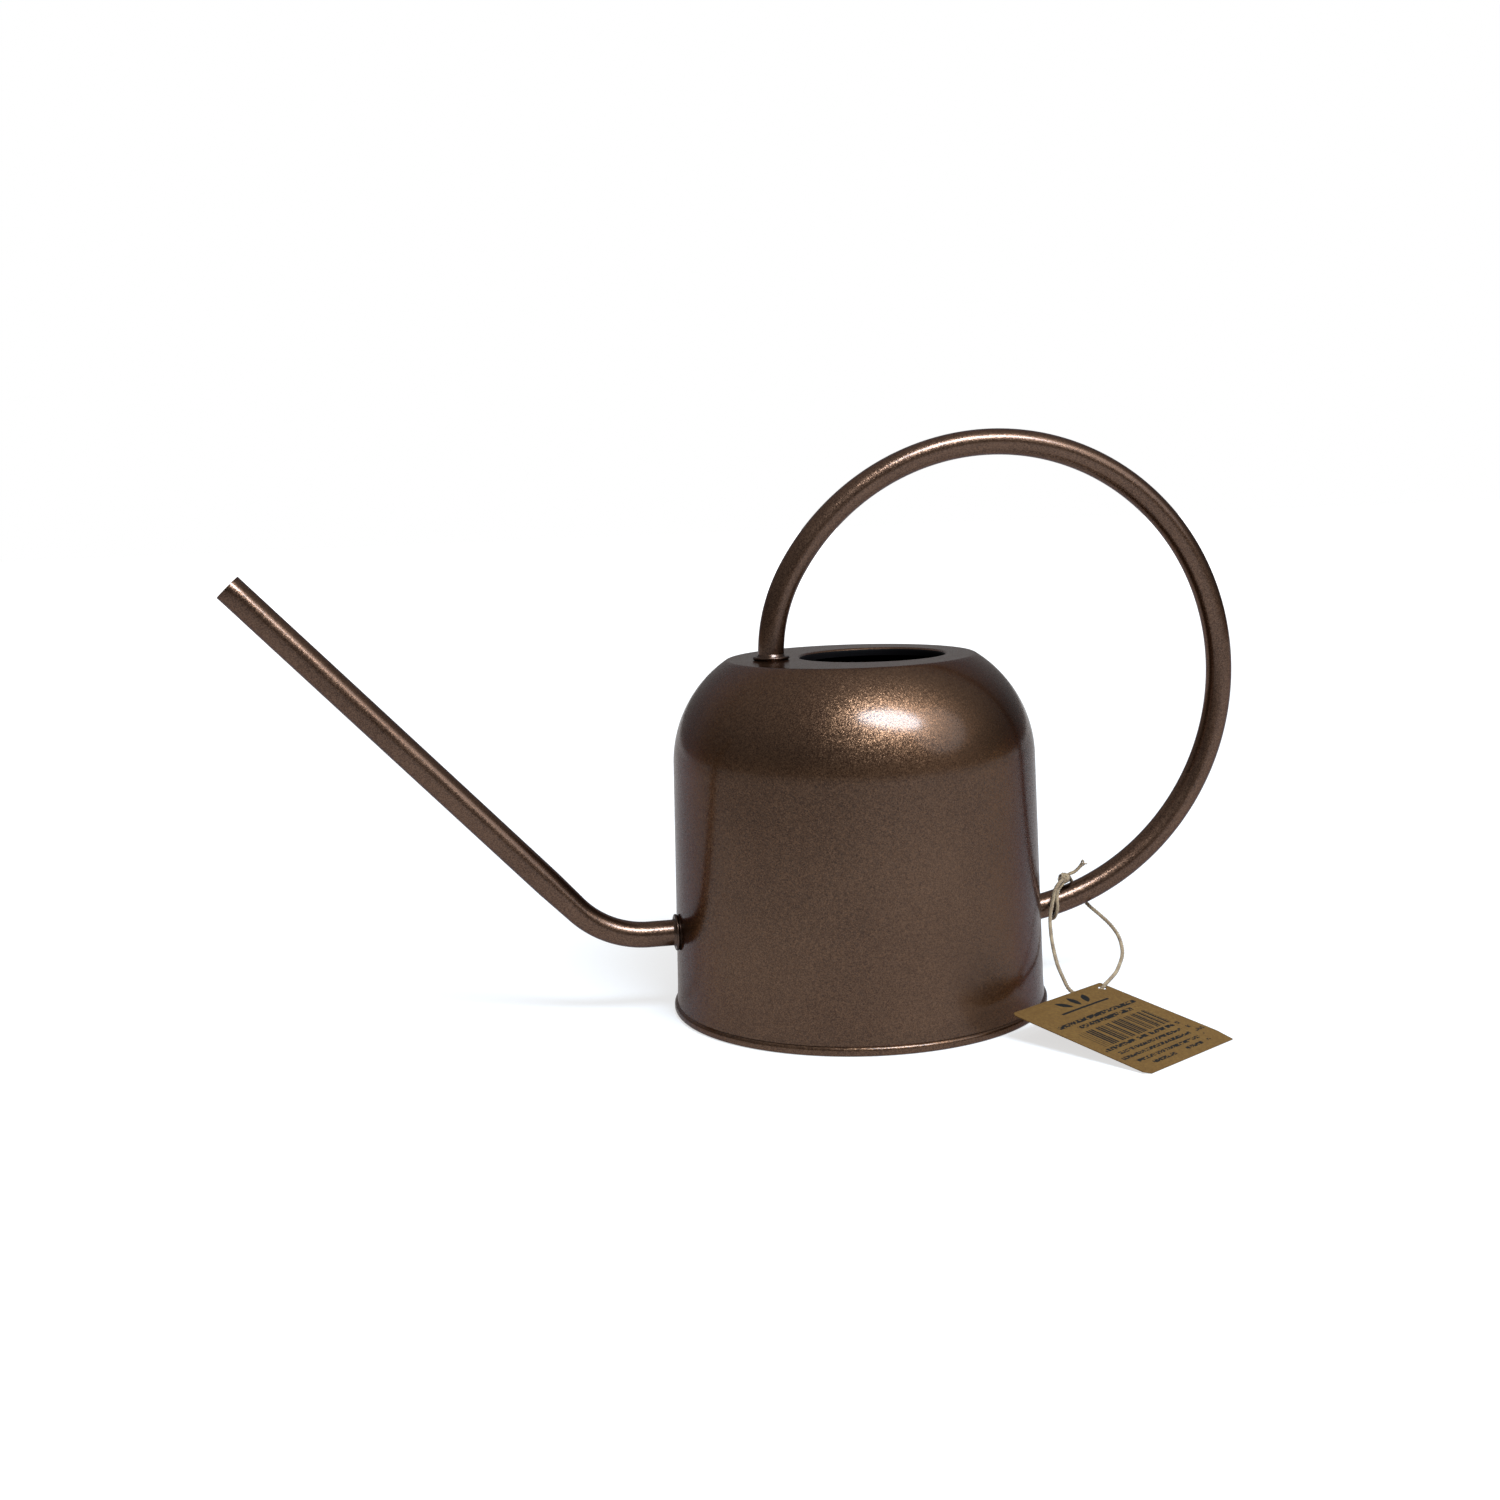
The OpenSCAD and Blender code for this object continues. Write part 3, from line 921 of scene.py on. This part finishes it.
def resample(outline, n):
    """n points round a closed outline, an equal angle apart as seen from the origin."""
    out = []
    m = len(outline)
    for k in range(n):
        a = 2 * math.pi * k / n
        d = Vector((math.cos(a), math.sin(a)))
        best = None
        for i in range(m):
            p = Vector(outline[i])
            q = Vector(outline[(i + 1) % m])
            e = q - p
            det = d.x * -e.y + d.y * e.x
            if abs(det) < 1e-9:
                continue
            s = (p.x * -e.y + p.y * e.x) / det
            t = (d.x * p.y - d.y * p.x) / det
            if s > 0 and -1e-6 <= t <= 1 + 1e-6:
                best = s if best is None else max(best, s)
        out.append((d.x * best, d.y * best))
    return out


# ---- stage -----------------------------------------------------------------------------


def make_floor():
    """Pale paper that glows a little, so that it reads as white. It is dimmer out of view, in
    front and to the left, because the can mirrors it there."""
    n = Nodes("floor_paper")
    split = n.new("ShaderNodeSeparateXYZ")
    n.put(split.inputs[0], n.coords)
    x = split.outputs[0]
    y = split.outputs[1]
    front = n.between(y, -1.4, -0.2, 0.3, 0.66)
    away = n.math("SQRT", n.math("ADD", n.math("MULTIPLY", x, x), n.math("MULTIPLY", y, y)))
    far = n.between(away, 1.2, 2.6, 0.0, 0.75)
    back = n.math("MAXIMUM", n.between(y, 0.1, 1.6, 0.0, 0.34), far)
    aside = n.math("MULTIPLY_ADD", y, 0.6, x)
    left = n.math("MAXIMUM", n.between(aside, -0.75, -0.32, 0.45, 1.0), far)
    n.set(Base_Color=rgb(0.32, 0.32, 0.32), Roughness=0.7, Specular_IOR_Level=0.1,
          Emission_Color=rgb(1, 1, 1),
          Emission_Strength=n.math("MULTIPLY", n.math("ADD", front, back), left))
    size = 6.0
    mesh = bpy.data.meshes.new("floor")
    mesh.from_pydata([(-size, -size, 0), (size, -size, 0), (size, size, 0), (-size, size, 0)],
                     [], [(0, 1, 2, 3)])
    floor = link(bpy.data.objects.new("floor", mesh))
    floor.data.materials.append(n.material)


def area_light(name, place, target, size, power, colour=(1, 1, 1), twist=0.0):
    data = bpy.data.lights.new(name, "AREA")
    data.shape = "ELLIPSE"
    data.size, data.size_y = size
    data.energy = power
    data.color = colour
    lamp = link(bpy.data.objects.new(name, data))
    lamp.location = place
    lamp.rotation_mode = "QUATERNION"
    aim = (Vector(target) - Vector(place)).to_track_quat("-Z", "Y")
    lamp.rotation_quaternion = aim @ Quaternion((0, 0, 1), twist)


def make_light():
    """One long softbox high in front, a dim one to the right, and a room that is dim at eye
    level in front and paler overhead and behind. What the camera sees straight on, above the
    floor, is plain white."""
    world = bpy.data.worlds.new("world")
    bpy.context.scene.world = world
    world.use_nodes = True
    tree = world.node_tree
    room = tree.nodes["Background"]
    coords = tree.nodes.new("ShaderNodeTexCoord")
    split = tree.nodes.new("ShaderNodeSeparateXYZ")
    tree.links.new(coords.outputs["Generated"], split.inputs[0])
    overhead = tree.nodes.new("ShaderNodeMapRange")
    tree.links.new(split.outputs["Z"], overhead.inputs["Value"])
    overhead.inputs["To Min"].default_value = 0.13
    overhead.inputs["To Max"].default_value = 0.75
    behind = tree.nodes.new("ShaderNodeMapRange")
    behind.interpolation_type = "SMOOTHSTEP"
    tree.links.new(split.outputs["Y"], behind.inputs["Value"])
    behind.inputs["From Min"].default_value = 0.45
    behind.inputs["From Max"].default_value = 0.75
    behind.inputs["To Max"].default_value = 0.25
    total = tree.nodes.new("ShaderNodeMath")
    tree.links.new(overhead.outputs["Result"], total.inputs[0])
    tree.links.new(behind.outputs["Result"], total.inputs[1])
    room.inputs["Color"].default_value = rgb(0.96, 0.98, 1.0)
    tree.links.new(total.outputs[0], room.inputs["Strength"])
    plain = tree.nodes.new("ShaderNodeBackground")
    plain.inputs["Color"].default_value = rgb(1, 1, 1)
    path = tree.nodes.new("ShaderNodeLightPath")
    mix = tree.nodes.new("ShaderNodeMixShader")
    tree.links.new(path.outputs["Is Camera Ray"], mix.inputs["Fac"])
    tree.links.new(room.outputs[0], mix.inputs[1])
    tree.links.new(plain.outputs[0], mix.inputs[2])
    tree.links.new(mix.outputs[0], tree.nodes["World Output"].inputs["Surface"])
    bpy.context.scene.view_settings.view_transform = "Standard"
    area_light("key", (0.38, -1.11, 1.39), (0, -0.03, 0.09), (1.1, 0.5), 56,
               colour=(0.82, 1.0, 1.22), twist=math.radians(-28))
    area_light("side", (1.02, -0.9, 0.9), (0, 0, 0.09), (1.0, 1.0), 6, colour=(0.9, 1.0, 1.12))


BODY_PAINT = lacquer("body_paint", rgb(0.034, 0.0135, 0.0055), rgb(0.118, 0.062, 0.033))
TUBE_PAINT = lacquer("tube_paint", rgb(0.034, 0.0140, 0.0065), rgb(0.118, 0.064, 0.038),
                     flake_tilt=0.13, roughness=0.3, peel=0.06)
FERRULE_PAINT = lacquer("ferrule_paint", rgb(0.026, 0.013, 0.008), rgb(0.075, 0.04, 0.024),
                        flake_tilt=0.13, roughness=0.3, peel=0.12)
# Near-black painted shade for the can's unlit inside
INSIDE_SHADE = painted_inside_shade()
BRAZE = brazing()

make_tag(kraft())
make_twine(jute())
make_body(BODY_PAINT, INSIDE_SHADE)
make_base(BODY_PAINT)
make_tube("spout", spout_line(), "spout_tube", TUBE_PAINT)
make_tube("handle", handle_line(), "handle_tube", TUBE_PAINT)
make_ferrule("collar_spout", "spout", "spout_ferrule", FERRULE_PAINT, 0.4)
make_ferrule("collar_front", "front", "handle_front_ferrule", FERRULE_PAINT, 0.0)
make_ferrule("collar_rear", "rear", "handle_rear_ferrule", FERRULE_PAINT, 0.4)
make_braze("fillet_spout", "spout", "spout_braze", BRAZE)
make_braze("fillet_front", "front", "handle_front_braze", BRAZE)
make_braze("fillet_rear", "rear", "handle_rear_braze", BRAZE)
make_floor()
make_light()
